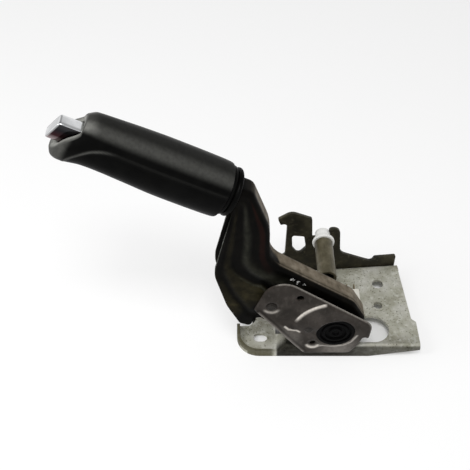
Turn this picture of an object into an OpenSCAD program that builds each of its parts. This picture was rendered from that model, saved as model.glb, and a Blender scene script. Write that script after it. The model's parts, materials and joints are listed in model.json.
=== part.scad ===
// Parking brake lever on its floor bracket.
// The working frame has its origin on the ground below the pivot, at the outer face of the near flange:
// x runs to the rear, y away from the near side, z up. Points of the lever and of the side plate count z
// from the pivot.

/* [Base plate] */
// Thickness of the base sheet
sheet_t = 2.5; // [2:0.1:3]
// Height of the raised floor's top face
floor_h = 13; // [12:0.5:15]
// Outer radius of the folded edges
bend_r = 4; // [3:0.5:5]
// Distance from the pivot to the rear edge
rear_len = 70.5; // [66:0.5:80]
// Distance from the pivot to the front edge of the raised floor
front_len = 43; // [41:0.5:46]
// Distance between the near and far folds, at the pivot
base_w = 85.5; // [84:0.5:95]
// Skew of the far fold and of all that stands on it, in degrees
wall_skew = 4.78; // [0:0.02:6]
// How far the near flange's lower edge rises at its rear end
flange_rise = 8; // [0:0.5:8.5]
// Distance from the pivot to the tip of the foot
foot_len = 77; // [72:0.5:82]
// Width of the step down to the foot
step_w = 41; // [38:0.5:44]
// Width of the foot's tongue
foot_w = 29; // [26:0.5:32]
// Radius of the foot's tip
foot_tip_r = 18; // [14:0.5:20]
// Height of the lip round the foot
foot_lip_h = 6.5; // [5:0.5:8]
// Length of the foot's slot
foot_slot_len = 11.4; // [9:0.2:14]
// Width of the foot's slot
foot_slot_w = 8.4; // [6:0.2:9]
// Diameter of the rear bolt hole
rear_hole_d = 9.5; // [8:0.1:11]
// Distance from the pivot to the rear bolt hole
rear_hole_x = 44; // [40:0.5:48]
// Distance from the near fold to the rear bolt hole
rear_hole_y = 66.6; // [62:0.2:70]
// Diameter of the locating hole
locator_d = 7.4; // [6:0.1:8.5]
// Distance from the near fold to the locating hole
locator_y = 42; // [40:0.5:45]
// Width of the cable opening in the floor
opening_w = 27; // [24:0.5:28]

/* [Side plate] */
// Thickness of the side plate
plate_t = 2.5; // [2:0.1:3.5]
// Height of the pressed ribs on the side plate
emboss_h = 1.5; // [1:0.1:2]
// Height of the pivot above the ground
pivot_z = 33.5; // [33:0.5:38]
// Diameter of the bush in the side plate
bush_d = 30; // [27:0.5:32]
// Diameter of the pivot pin
pivot_d = 10; // [8:0.5:11]

/* [Cable bracket] */
// Thickness of the far wall
wall_t = 2.7; // [2:0.1:4]
// Height of the cable hook's tower
tower_h = 81; // [78:0.5:88]
// Outer diameter of the cross tube
tube_d = 15; // [13:0.5:16]
// Bore of the cross tube
tube_bore = 11; // [8:0.5:11.5]
// Distance from the far fold to the near end of the cross tube
tube_len = 49; // [40:0.5:54]
// Height of the cross tube's axis
tube_z = 53.9; // [52:0.2:55]
// Outer diameter of the nylon collar's flange
collar_d = 18.4; // [17:0.2:20]
// Diameter of the collar's barrel, which lies in the far wall's notch
barrel_d = 12.6; // [11.5:0.1:13]
// Length of the nylon collar in front of the far fold
collar_len = 10; // [7:0.5:12]

/* [Lever] */
// Outer width of the lever channel
arm_w = 18; // [17:0.5:19]
// Thickness of the lever's sheet
arm_t = 2.5; // [2:0.1:2.6]
// Gap between the near flange's outer face and the lever
arm_gap = 6; // [5.5:0.1:7]
// Height of the rib pressed into the near wall
arm_rib_h = 1.8; // [1:0.1:2.2]
// Depth of the tang that runs into the grip
tang_h = 20; // [18:0.5:20.5]
// Length of the tang
tang_len = 72; // [68:0.5:76]
// Slope of the grip, in degrees
grip_slope = 26.5; // [24:0.5:29]
// Length of the grip along its axis
grip_len = 109; // [105:0.5:115]
// Radius of the grip at its rear end
grip_r = 20; // [18:0.25:21]
// Outer diameter of the beaded ring behind the grip
ring_d = 35; // [33:0.5:37]
// Length of the beaded ring
ring_len = 8.4; // [7:0.2:9]

/* [Release] */
// Height of the push button
button_h = 15; // [13:0.5:16]
// Width of the push button
button_w = 11; // [9.5:0.5:12]
// How far the button stands out in front of the grip
button_out = 9; // [7:0.5:10]
// Length of the button
button_len = 30; // [26:0.5:34]
// Diameter of the release rod
rod_d = 5; // [4:0.25:5.5]
// Wire of the return spring
spring_wire = 1.2; // [0.8:0.1:1.4]

/* [Ratchet] */
// Radius over the sector's teeth
teeth_r = 50; // [49:0.25:50.5]
// Depth of the teeth
teeth_depth = 2.6; // [2:0.1:3]
// Angle between the teeth, in degrees
teeth_pitch = 4; // [4:1:5]
// Thickness of the sector and of the pawl
sector_t = 5; // [4:0.25:6]
// Diameter of the pawl's pin
pawl_pin_d = 6; // [5:0.25:7]
// Diameter of the cable pin
cable_pin_d = 6; // [5:0.25:6.5]

/* [Switch] */
// Length of the switch housing
switch_len = 12; // [11:0.5:16]
// Width of the switch housing
switch_w = 15; // [12:0.5:16]
// Height of the switch housing
switch_h = 16; // [14:0.5:18]
// Diameter of the plunger
plunger_d = 4; // [3:0.25:4.5]

/* [Clearances] */
// Radial clearance of pins that turn
run_gap = 0.05; // [0.02:0.01:0.1]
// Clearance of pieces that are fitted once
seat_gap = 0.1; // [0.05:0.05:0.2]
// Clearance of pieces that slide or pass each other
slide_gap = 0.35; // [0.3:0.05:0.5]

/* [Hidden] */
$fn = 64;
// Overlap of shapes that are joined into one sheet
join = 0.5;
// Height of the tools that cut the base sheet
cut_h = 3 * floor_h;

// Small geometry functions
function unit(v) = v / norm(v);
function turned(v, angle) = [v.x * cos(angle) - v.y * sin(angle), v.x * sin(angle) + v.y * cos(angle)];
function left_of(a, b) = let (t = unit(b - a)) [-t.y, t.x];
function flat(p) = [p.x, p.y];
// Centre of the arc that rounds corner b between a and c
function arc_centre(a, b, c, r) =
    let (u = unit(a - b), v = unit(c - b)) b + unit(u + v) * r / sin(acos(u * v) / 2);
// Points of that arc, or the bare corner where r is 0
function corner_arc(a, b, c, r) =
    r <= 0 ? [b] :
    let (u = unit(a - b), v = unit(c - b), open = acos(u * v), reach = r / tan(open / 2),
        centre = arc_centre(a, b, c, r), start = b + u * reach - centre, end = b + v * reach - centre,
        sweep = sign(cross(start, end)) * (180 - open), steps = max(3, ceil(abs(sweep) / 10)))
    [for (i = [0:steps]) centre + turned(start, sweep * i / steps)];
// Closed outline through corners [x, y, radius]
function outline(corners) =
    let (n = len(corners))
    [for (i = [0:n - 1]) each corner_arc(flat(corners[(i + n - 1) % n]), flat(corners[i]),
        flat(corners[(i + 1) % n]), corners[i][2])];
// Open path through corners [x, y, radius]
function path(corners) =
    let (n = len(corners))
    [for (i = [0:n - 1]) each (i == 0 || i == n - 1) ? [flat(corners[i])] :
        corner_arc(flat(corners[i - 1]), flat(corners[i]), flat(corners[i + 1]), corners[i][2])];
// Path moved sideways to its left by d
function beside(points, d) =
    let (last = len(points) - 1)
    [for (i = [0:last])
        let (before = left_of(points[max(i - 1, 0)], points[max(i, 1)]),
            after = left_of(points[min(i, last - 1)], points[min(i + 1, last)]), mid = unit(before + after))
        points[i] + mid * d / (mid * before)];
// Strip of width d along the left of a path
function strip(points, d) =
    let (other = beside(points, d))
    concat(points, [for (i = [len(other) - 1:-1:0]) other[i]]);
function polar(r, angle) = r * [cos(angle), sin(angle)];
function arc(r, from, to, steps) = [for (i = [0:steps]) polar(r, from + (to - from) * i / steps)];

// Side profile standing between two y planes
module upright(y0, y1) {
    translate([0, y1, 0]) rotate([90, 0, 0]) linear_extrude(y1 - y0) children();
}
// Cross profile in y and z, run along x
module along_x(x0, x1) {
    translate([x0, 0, 0]) rotate([90, 0, 90]) linear_extrude(x1 - x0) children();
}
// Round bar along y
module bar_y(d, y0, y1, x = 0, z = 0) {
    translate([x, y0, z]) rotate([-90, 0, 0]) cylinder(d = d, h = y1 - y0);
}
// Round profile [radius, y] turned about the y axis
module turned_y(profile) {
    rotate([-90, 0, 0]) rotate_extrude() polygon(profile);
}
// Coil spring along z, standing on z = 0
module coil(mean_d, wire, height, turns) {
    sides = 8;
    steps = 14;
    rings = turns * steps;
    pitch = (height - wire) / turns;
    points = [for (i = [0:rings]) for (j = [0:sides - 1])
        let (angle = 360 * i / steps, r = mean_d / 2 + wire / 2 * cos(360 * j / sides))
        [r * cos(angle), r * sin(angle), wire / 2 + pitch * i / steps + wire / 2 * sin(360 * j / sides)]];
    walls = [for (i = [0:rings - 1]) for (j = [0:sides - 1])
        let (k = (j + 1) % sides) [i * sides + j, i * sides + k, (i + 1) * sides + k, (i + 1) * sides + j]];
    ends = [[for (j = [sides - 1:-1:0]) j], [for (j = [0:sides - 1]) rings * sides + j]];
    polyhedron(points, concat(walls, ends), convexity = 6);
}

// Grip axis: a counts from the tang's root towards the button, p across it, upwards
axis_x = -78;
axis_z = 131;
function on_axis(a, p) = [axis_x - a * cos(grip_slope) + p * sin(grip_slope),
    axis_z + a * sin(grip_slope) + p * cos(grip_slope)];
module on_grip() {
    translate([axis_x, lever_y, axis_z]) rotate([0, grip_slope - 90, 0]) children();
}
// Everything on the lever counts from the pivot
module at_pivot() {
    translate([0, 0, pivot_z]) children();
}
// Everything on the far wall counts from the far fold's outer face
module on_wall() {
    translate([0, base_w, 0]) rotate(wall_skew) children();
}

// Places that several pieces share
lever_y = arm_gap + arm_w / 2;
arm_far = arm_gap + arm_w;
head_y = arm_far + 2;
inner_near = arm_gap + arm_t;
inner_far = arm_far - arm_t;
sector_y0 = lever_y - sector_t / 2;
sector_y1 = lever_y + sector_t / 2;
fold_run = bend_r + 4;
rise_x = 30;
opening_y = 17.75;
opening_x0 = 14;
opening_x1 = 47.2;
slot_x = -foot_len + 19.2;
slot_y = 17;
locator_x = rear_hole_x - 2.7;
locator_rim = 1.5;
locator_rim_h = 0.8;
dart_x = 45;
tab_slots = [for (x = [9, 19]) [x - front_len, x + 7 - front_len]];
floor_z = floor_h - pivot_z;
tube_x = -5;
lobe_z = 60.5;
spigot_len = 6;
collar_flange = 2.5;
pad_t = 2.5;
pad_rivet_d = 6;
pad_rivets_at = [[-51, 30.3], [-21.3, 4.5]];
dimple_depth = 0.9;
bare_hole_at = [-29.8, 41.3];
low_hole_at = [-17.1, -13.6];
plate_low = 7 - pivot_z;
pawl_at = [-57, 36];
cable_at = [3.4, -12.6];
nose_angle = 168;
ear_x = 5;
ear_z0 = -17;
ear_z1 = -9;
plunger_z = -13;
plunger_y = 39.5;
switch_x = 12;
switch_y = plunger_y - switch_w / 2;
guide_a0 = 50;
guide_a1 = 64;
ring_a = 1.6;
grip_a = ring_a + ring_len + slide_gap;
rim_a = grip_a + grip_len;
rim_tilt = 0.34;
button_a1 = rim_a + button_out;
button_a0 = button_a1 - button_len;
rod_socket = 8;

// Outlines
arm_heel = [25, 4];
arm_corners = [
    concat(on_axis(tang_len, -tang_h / 2), 2), concat(on_axis(tang_len, tang_h / 2), 2),
    concat(on_axis(-8.3, tang_h / 2 + 0.3), 6), [-54, 103, 40], [-53.5, 71.5, 22], [13, 25.5, 14],
    concat(arm_heel, 10), [12, -17, 9], [-8, -18, 10], [-46, -3, 12], [-61, 13, 4], [-67, 0, 2.5],
    [-75, 3, 3], [-85, 24, 40], [-94.5, 60, 28], concat(on_axis(-2, -tang_h / 2), 4)];
web_corners = [concat(on_axis(tang_len, tang_h / 2), 0), for (i = [2:5]) arm_corners[i], concat(arm_heel, 0)];
rib_corners = [[-70, 124, 0], [-68, 84, 18], [-56, 56, 18], [-20, 36, 0]];
rim_corners = [[-82, 112, 0], [-92.5, 62, 26], [-82.5, 24, 38], [-72, 7, 0]];
plate_corners = [[-64.5, 27, 4], [-50, 65.5, 16], [28.5, 9, 11], [26.8, -9.8, 1.5], [22.8, -6, 1.5],
    [19, -17, 5], [13, plate_low, 5], [-23.7, plate_low, 3]];
tip_round = 2.5;
button_lean = button_h * rim_tilt / 2;
button_side = [[button_a0, -button_h / 2, 0], [button_a1 + button_lean, -button_h / 2, tip_round],
    [button_a1 - button_lean, button_h / 2, tip_round], [button_a0, button_h / 2, 0]];

// The part's own origin is the middle of its footprint, on the ground
tip = arc_centre(flat(button_side[0]), flat(button_side[1]), flat(button_side[2]), tip_round);
front_x = on_axis(tip.x, tip.y).x - tip_round;
wall_x1 = 62;
near_y = -plate_t - emboss_h;
far_y = base_w + wall_x1 * sin(wall_skew) + wall_t * cos(wall_skew);
module placed() {
    translate([-(front_x + rear_len) / 2, -(near_y + far_y) / 2, 0]) children();
}

// Folded edge of the base sheet, seen along the fold
function fold(side) =
    strip(path([[side * fold_run, floor_h, 0], [0, floor_h, bend_r], [0, 0, 0]]), side * sheet_t);

module base_sheet() {
    inset = fold_run - join;
    far_dir = [cos(wall_skew), sin(wall_skew)];
    far_in = [sin(wall_skew), -cos(wall_skew)];
    far_left = [0, base_w] - far_dir * (front_len - join) + far_in * inset;
    far_right = [0, base_w] + far_dir * (wall_x1 + 2 - join) + far_in * inset;
    // raised floor
    translate([0, 0, floor_h - sheet_t]) linear_extrude(sheet_t) polygon(outline([
        [-front_len + 8, inset, 0], [rear_len, inset, 0],
        [rear_len, 25, 1.5], [rear_len - 3.5, 28, 3], concat(far_right, 0), concat(far_left, 0),
        [-front_len, step_w + 5, 3], [-front_len + 8, step_w, 3]]));
    // near fold, with a lower edge that rises to the rear
    difference() {
        along_x(-front_len + 5, rear_len) polygon(fold(1));
        upright(-1, fold_run + 1) polygon([[rise_x, 0], [rise_x, -1], [rear_len + 1, -1],
            [rear_len + 1, flange_rise], [rear_len, flange_rise]]);
    }
    // far fold
    on_wall() along_x(-front_len, wall_x1 + 2) polygon(fold(-1));
    // step down to the foot, which ends at the near fold's front
    step = strip(path([[-front_len + 9, floor_h, 0], [-front_len + 5, floor_h, bend_r],
        [-front_len - 2, sheet_t, bend_r], [-front_len - 8, sheet_t, 0]]), sheet_t);
    upright(inset, step_w) polygon(step);
    intersection() {
        upright(0, fold_run) polygon(step);
        translate([-foot_len, 0, 0]) cube([foot_len - front_len + 5, fold_run, cut_h]);
    }
    foot();
}

module foot() {
    tongue = [[-front_len + 6, 0, 0], [-front_len + 6, fold_run, 0], [-front_len - 6, fold_run, 0],
        [-front_len - 6, step_w, 0], [-front_len - 19, step_w, 4],
        [-foot_len + 12, foot_w, 4], [-foot_len, foot_w, 1.5], [-foot_len, 0, foot_tip_r]];
    lip = [[-foot_len, foot_w - join, 0], [-foot_len, 0, foot_tip_r], [-front_len + 6, 0, 0]];
    linear_extrude(sheet_t) polygon(outline(tongue));
    linear_extrude(foot_lip_h) polygon(strip(path(lip), sheet_t));
}

module base_plate() color("silver") placed() difference() {
    union() {
        base_sheet();
        translate([locator_x, locator_y, floor_h - join])
            cylinder(d = locator_d + 2 * locator_rim, h = join + locator_rim_h);
    }
    // bolt hole, locating hole, foot slot and cable opening
    translate([rear_hole_x, rear_hole_y, 0]) cylinder(d = rear_hole_d, h = cut_h, center = true);
    translate([locator_x, locator_y, 0]) cylinder(d = locator_d, h = cut_h, center = true);
    translate([slot_x, slot_y, 0]) slot(foot_slot_len, foot_slot_w);
    translate([opening_x0, opening_y - opening_w / 2, 0])
        cube([opening_x1 - opening_x0 - opening_w / 2, opening_w, cut_h]);
    translate([opening_x1 - opening_w / 2, opening_y, 0]) cylinder(d = opening_w, h = cut_h);
    // slots for the sector's tabs
    for (tab = tab_slots) translate([tab[0] - seat_gap, sector_y0 - seat_gap, 0])
        cube([tab[1] - tab[0] + 2 * seat_gap, sector_t + 2 * seat_gap, cut_h]);
    // dart pressed into the near fold
    translate([dart_x, -3.6, 3]) cylinder(r1 = 0.2, r2 = 6, h = floor_h);
}

module slot(length, width) {
    for (side = [-1, 1]) translate([side * (length - width) / 2, 0, 0])
        cylinder(d = width, h = cut_h, center = true);
    cube([length - width, width, cut_h], center = true);
}

module near_side_plate() color("dimgray") placed() at_pivot() difference() {
    face = -plate_t - emboss_h;
    union() {
        upright(-plate_t, 0) polygon(outline(plate_corners));
        // lip along the front edge, arc rib and ring round the bush
        upright(face, join - plate_t) polygon(strip([[-61, 22.4], [-25.7, plate_low + 2.6]], 3));
        upright(face, join - plate_t) polygon(strip(arc(bush_d / 2 + 21, 100, 168, 14), 4.5));
        upright(face, join - plate_t) intersection() {
            circle(r = bush_d / 2 + 2.5);
            polygon(outline(plate_corners));
        }
    }
    // seat of the bush
    bar_y(bush_d + 2 * run_gap, face - 1, 1);
    // rivet holes, two bare holes and the dimples
    for (at = pad_rivets_at) bar_y(pad_rivet_d, face, 1, at.x, at.y);
    bar_y(6, face, 1, bare_hole_at.x, bare_hole_at.y);
    bar_y(5, face, 1, low_hole_at.x, low_hole_at.y);
    dimple(pad_rivets_at[0], 14);
    dimple(low_hole_at, 11);
}

// Conical dimple sunk into the side plate's outer face
module dimple(at, d) {
    translate([at.x, -plate_t, at.y]) rotate([-90, 0, 0]) cylinder(d1 = d, d2 = d - 5, h = dimple_depth);
}

module cable_bracket() color("darkolivegreen") placed() on_wall() difference() {
    upright(0, wall_t) polygon(outline([[-45, 2, 2], [-45.5, 33, 3], [-36, 31, 3],
        [-35.5, tower_h - 10.5, 3], [-41, tower_h - 12.5, 1.2], [-43.5, tower_h - 6, 1.5],
        [-32.5, tower_h + 1, 8], [-15, tower_h - 7.5, 2], [-13.5, tube_z - 2, 1], [0, tube_z - 2, 1],
        [0.5, lobe_z, 2.5], [9.5, lobe_z, 6], [12, 31, 9], [34, 20.5, 5], [41, 17.5, 3], [43, 22.5, 1.5],
        [wall_x1, 23, 1.5], [wall_x1, 2, 1.5]]));
    // window
    upright(-1, wall_t + 1) polygon(outline([[-31, 55.5, 2], [-20.5, 53.5, 2], [-18.3, 40, 2.5],
        [-24.5, 32.5, 3], [-30, 41, 2.5]]));
    // cradle of the collar's barrel
    rotate(-wall_skew) bar_y(barrel_d + 2 * run_gap, -2, wall_t + 2, tube_x, tube_z);
}

// The cross tube runs straight across, on the spigot of a collar that lies in the far wall's notch
module at_tube() {
    translate([tube_x, base_w, tube_z]) children();
}

module cross_tube() color("tan") placed() at_tube() difference() {
    bar_y(tube_d, -tube_len, -collar_len);
    bar_y(tube_bore, -tube_len - 1, 1 - collar_len);
}

module tube_collar() color("white") placed() at_tube() translate([0, -collar_len, 0]) {
    r = collar_d / 2;
    barrel_r = barrel_d / 2;
    spigot_r = tube_bore / 2 - run_gap;
    bore_r = spigot_r - 1.5;
    end = collar_len + wall_t;
    turned_y([[bore_r, -spigot_len], [spigot_r, -spigot_len], [spigot_r, 0], [r - 0.6, 0], [r, 0.6],
        [r, collar_flange], [barrel_r, collar_flange], [barrel_r, end - 0.6], [barrel_r - 0.6, end],
        [bore_r, end]]);
}

// Black bush with ring ribs on its face, a flange behind the plate and a blind bore for the pin
module pivot_bush() color("black") placed() at_pivot() difference() {
    face = -plate_t - 0.4;
    sunk = face + 1.6;
    hub = face + 1.2;
    rib = face + 0.2;
    r = bush_d / 2;
    flange_r = r + 2.5;
    hub_r = pivot_d / 2 + 4;
    hub_end = arm_gap - slide_gap;
    turned_y([[0, hub], [3, hub], [3, rib], [5, rib], [5, sunk], [r - 6.5, sunk], [r - 6.5, rib],
        [r - 4.5, rib], [r - 4.5, sunk], [r - 2.5, sunk], [r - 2.5, face], [r, face], [r, slide_gap],
        [flange_r, slide_gap], [flange_r, 2], [hub_r, 2], [hub_r, hub_end], [0, hub_end]]);
    bar_y(pivot_d + 2 * run_gap, 0, arm_gap);
}

module pivot_pin() color("gray") placed() at_pivot() {
    head_r = pivot_d / 2 + 3;
    bar_y(pivot_d, seat_gap, head_y + 1);
    turned_y([[0, head_y], [head_r, head_y], [head_r, head_y + 2], [head_r - 1, head_y + 3],
        [0, head_y + 3]]);
}

module pivot_washer() color("lightgray") placed() at_pivot() difference() {
    bar_y(pivot_d + 7, arm_far + slide_gap, head_y);
    bar_y(pivot_d + 2 * run_gap, arm_far, head_y + 1);
}

// Saw teeth from the lower end of the arc to the upper one
tooth_count = 12;
function tooth(i) = [for (step = [[0, 0], [0.15, teeth_depth], [0.35, teeth_depth]])
    polar(teeth_r - step[1], nose_angle - (i + step[0]) * teeth_pitch)];

module ratchet_sector() color("slategray") placed() at_pivot() difference() {
    foot_x = tab_slots[1][1];
    crest = polar(teeth_r, nose_angle - tooth_count * teeth_pitch);
    union() {
        upright(sector_y0, sector_y1) polygon(concat([for (i = [-1:tooth_count - 1]) each tooth(i)],
            [crest, [5, 8], [-9, -4], [foot_x, floor_z], [4 - teeth_r, floor_z], [3 - teeth_r, 0]]));
        bar_y(pivot_d + 9, sector_y0, sector_y1);
        for (tab = tab_slots) translate([tab[0], sector_y0, floor_z - sheet_t])
            cube([tab[1] - tab[0], sector_t, sheet_t + 1]);
    }
    bar_y(pivot_d + 2 * run_gap, 0, arm_far);
}

// Nylon pad on the inside of the side plate, held by two rivets
module guide_pad() color("ivory") placed() at_pivot() difference() {
    top = pad_rivets_at[0];
    low = pad_rivets_at[1];
    upright(0, pad_t) polygon(outline([concat(top + [-7, -6], 5), concat(top + [-3, 9], 6),
        concat(top + [8, 4], 5), concat(low + [5, 5], 4), concat(low + [3, -5], 4),
        concat(low + [-7, -1], 5)]));
    for (at = pad_rivets_at) bar_y(pad_rivet_d, -1, pad_t + 1, at.x, at.y);
}

module pad_rivets() color("gray") placed() at_pivot() {
    r = pad_rivet_d / 2;
    for (i = [0, 1]) {
        at = pad_rivets_at[i];
        // the upper rivet sits in its dimple
        face = (i == 0 ? dimple_depth : 0) - plate_t;
        translate([at.x, 0, at.y]) turned_y([[0, face - 1.2], [r - 0.5, face - 1.2], [r + 1, face], [r, face],
            [r, pad_t], [r + 1, pad_t], [r, pad_t + 0.8], [0, pad_t + 0.8]]);
    }
}

// Warning-lamp switch: housing with a fixing lug, blades, plunger and its spring
blade_x = [2.5, 8.5];
blade_z = floor_h + 8;
blade_h = 5;
blade_seat = 3;
plunger_x = ear_x + arm_t + slide_gap;
plunger_len = 9;
plunger_end = plunger_x + plunger_len;
bore_end = switch_x + switch_len - 2.5;
switch_back = switch_y + switch_w;

module on_plunger(x) {
    translate([x, plunger_y, pivot_z + plunger_z]) rotate([0, 90, 0]) children();
}

module switch_housing() color("ivory") placed() difference() {
    union() {
        translate([switch_x, switch_y, floor_h]) linear_extrude(switch_h) polygon(outline([[0, 0, 1],
            [switch_len, 0, 1], [switch_len, switch_w, 1], [0, switch_w, 1]]));
        translate([switch_x + 1, switch_back - join, floor_h]) cube([switch_len - 2, 6, 2.5]);
    }
    // bore of the plunger and its spring
    on_plunger(switch_x - 1) cylinder(d = plunger_d + 4 * run_gap, h = bore_end - switch_x + 1);
    // seats of the blades
    for (x = blade_x) translate([switch_x + x - seat_gap, switch_back - blade_seat, blade_z - seat_gap])
        cube([1 + 2 * seat_gap, blade_seat + 1, blade_h + 2 * seat_gap]);
}

module switch_terminals() color("darkgoldenrod") placed() for (x = blade_x)
    translate([switch_x + x, switch_back - blade_seat + seat_gap, blade_z])
    cube([1, blade_seat + 8, blade_h]);

module switch_plunger() color("white") placed() on_plunger(plunger_x) rotate_extrude() {
    r = plunger_d / 2;
    polygon([[0, 0], [r - 1, 0], [r, 1], [r, plunger_len], [0, plunger_len]]);
}

module switch_spring() color("silver") placed() on_plunger(plunger_end)
    coil(plunger_d - 1.4, 0.5, bore_end - plunger_end, 4);

module lever_arm() color("black") placed() at_pivot() difference() {
    union() {
        for (y = [arm_gap, inner_far]) upright(y, y + arm_t) polygon(outline(arm_corners));
        upright(arm_gap + 1, arm_far - 1) polygon(strip(path(web_corners), -arm_t));
        // rib and raised rim on the near wall
        upright(arm_gap - arm_rib_h, arm_gap + join) polygon(strip(path(rib_corners), 11));
        upright(arm_gap - arm_rib_h / 2, arm_gap + join) polygon(strip(path(rim_corners), 6));
        // ear that works the switch
        translate([ear_x, arm_far - join, ear_z0])
            cube([arm_t, plunger_y + 2.5 - arm_far + join, ear_z1 - ear_z0]);
    }
    bar_y(pivot_d + 2 * run_gap, arm_gap - 5, arm_far + 1);
    bar_y(pawl_pin_d, arm_gap - 5, arm_far + 1, pawl_at.x, pawl_at.y);
    bar_y(cable_pin_d, arm_gap - 5, arm_far + 1, cable_at.x, cable_at.y);
}

// Pin riveted through both walls
module cross_pin(d, at) {
    r = d / 2;
    head = 0.8;
    translate([at.x, 0, at.y]) turned_y([[0, arm_gap - head], [r - head, arm_gap - head], [r, arm_gap],
        [r, arm_far], [r - head, arm_far + head], [0, arm_far + head]]);
}
module pawl_pin() color("gray") placed() at_pivot() cross_pin(pawl_pin_d, pawl_at);
module cable_pin() color("gray") placed() at_pivot() cross_pin(cable_pin_d, cable_at);

// Pawl: nose just clear of the teeth, fork round the rod's end
nose = polar(teeth_r + slide_gap, nose_angle);
nose_dir = polar(1, nose_angle);
nose_side = [-nose_dir.y, nose_dir.x];
fork_at = pawl_at + [-6, 24];
fork_gap = rod_d + 2.4;
function from_nose(out, aside) = nose + nose_dir * out + nose_side * aside;

module pawl() color("slategray") placed() at_pivot() difference() {
    fork_w = fork_gap + 7;
    union() {
        upright(sector_y0, sector_y1) polygon([from_nose(0, -0.4), from_nose(0, 0), from_nose(3, 1.2),
            from_nose(9, 4), pawl_at + [-7, 0], pawl_at + [7, 0], from_nose(5, -6), from_nose(3, -1.2)]);
        upright(sector_y0, sector_y1) polygon([pawl_at + [-6.5, 0], fork_at + [-fork_w / 2, 4],
            fork_at + [fork_w / 2, 4], pawl_at + [6.5, 0]]);
        bar_y(pawl_pin_d + 7, inner_near + slide_gap, inner_far - slide_gap, pawl_at.x, pawl_at.y);
    }
    translate([fork_at.x - fork_gap / 2, 0, fork_at.y - 7]) cube([fork_gap, arm_far, 20]);
    bar_y(pawl_pin_d + 2 * run_gap, 0, arm_far + 1, pawl_at.x, pawl_at.y);
}

// Grip, lofted through stations [place, top, bottom, half width, tilt of the section]
grip_stations = [
    [0, grip_r - 3.6, grip_r - 1.2, grip_r - 3.4, 0],
    [2.5, grip_r - 1.4, grip_r + 0.9, grip_r - 1.4, 0],
    [grip_len - 69, grip_r - 0.6, grip_r + 0.6, grip_r - 1.3, 0],
    [grip_len - 47, grip_r - 0.7, grip_r - 1, grip_r - 2, 0.02],
    [grip_len - 29, grip_r - 1.1, grip_r - 2.2, grip_r - 3, 0.1],
    [grip_len - 17, grip_r - 1.7, grip_r - 1.8, grip_r - 4, 0.2],
    [grip_len - 9, grip_r - 2.2, grip_r + 1, grip_r - 4.6, rim_tilt],
    [grip_len - 4, grip_r - 3.6, grip_r - 0.2, grip_r - 5.8, rim_tilt],
    [grip_len, grip_r - 7, grip_r - 4.2, grip_r - 8.2, rim_tilt]];
// Smooth curve through the stations
function smooth_station(i, t) =
    let (last = len(grip_stations) - 1, p0 = grip_stations[max(i - 1, 0)], p1 = grip_stations[i],
        p2 = grip_stations[min(i + 1, last)], p3 = grip_stations[min(i + 2, last)])
    0.5 * (2 * p1 + (p2 - p0) * t + (2 * p0 - 5 * p1 + 4 * p2 - p3) * t * t
        + (3 * p1 - p0 - 3 * p2 + p3) * t * t * t);
grip_sides = 36;
// Section that is a little fuller than an ellipse
function full(v) = sign(v) * pow(abs(v), 0.9);
function grip_ring(s) = [for (j = [0:grip_sides - 1])
    let (across = full(cos(360 * j / grip_sides)), up = full(sin(360 * j / grip_sides)),
        p = up * (up > 0 ? s[1] : s[2]))
    [p, -across * s[3], s[0] - s[4] * p]];
module loft(rings) {
    n = len(rings[0]);
    last = len(rings) - 1;
    walls = [for (i = [0:last - 1]) for (j = [0:n - 1])
        let (k = (j + 1) % n, a = i * n, b = a + n) each [[a + j, b + j, b + k], [a + j, b + k, a + k]]];
    ends = [[for (j = [0:n - 1]) j], [for (j = [n - 1:-1:0]) last * n + j]];
    polyhedron([for (ring = rings) each ring], concat(walls, ends), convexity = 6);
}

module grip() color("black") placed() at_pivot() on_grip() difference() {
    last = len(grip_stations) - 1;
    translate([0, 0, grip_a]) loft([for (i = [0:last - 1]) for (t = [0, 0.34, 0.67])
        grip_ring(smooth_station(i, t)), grip_ring(grip_stations[last])]);
    // room for the tang, and the button's shaft
    translate([0, 0, tang_len / 2])
        cube([tang_h + 2 * slide_gap, arm_w + 2 * slide_gap, tang_len + 2 * slide_gap], center = true);
    translate([0, 0, rim_a])
        cube([button_h + 2 * slide_gap, button_w + 2 * slide_gap, 2 * (rim_a - tang_len + 1)], center = true);
}

// Rubber ring of two beads behind the grip
module grip_collar() color("black") placed() at_pivot() on_grip() translate([0, 0, ring_a])
    rotate_extrude() difference() {
    union() for (half = [0, 1]) translate([ring_d / 2 - ring_len / 4, ring_len * (1 + 2 * half) / 4]) {
        circle(d = ring_len / 2);
        translate([-ring_d / 4, -ring_len / 4]) square([ring_d / 4, ring_len / 2]);
    }
    square([norm([arm_w, tang_h]) / 2 + slide_gap, ring_len]);
}

module rod_guide() color("ivory") placed() at_pivot() on_grip() difference() {
    translate([-tang_h / 2 + 1, -arm_w / 2 + arm_t + seat_gap, guide_a0])
        cube([tang_h - 1 - arm_t - seat_gap, arm_w - 2 * arm_t - 2 * seat_gap, guide_a1 - guide_a0]);
    translate([0, 0, guide_a0 - 1]) cylinder(d = rod_d + 4 * run_gap, h = guide_a1 - guide_a0 + 2);
}

module release_button() color("gainsboro") placed() at_pivot() on_grip() difference() {
    intersection() {
        upright(-button_w / 2, button_w / 2) polygon([for (q = outline(button_side)) [q.y, q.x]]);
        translate([0, 0, button_a0 - 1]) linear_extrude(2 * button_len)
            polygon(outline([for (side = [[-1, -1], [1, -1], [1, 1], [-1, 1]])
                [side.x * button_h / 2, side.y * button_w / 2, tip_round]]));
    }
    translate([0, 0, button_a0 - 1]) cylinder(d = rod_d + 2 * run_gap, h = rod_socket + 1);
}

// Bent rod from the button to the pawl's fork
rod_bend_r = 9;
// The rod swells a little where it is bent
rod_bend_d = rod_d + 0.2;
rod_corners = [on_axis(button_a0 + rod_socket - seat_gap, 0), on_axis(-5.6, 0), fork_at + [0, 22],
    fork_at - [0, 2.5]];
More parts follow.
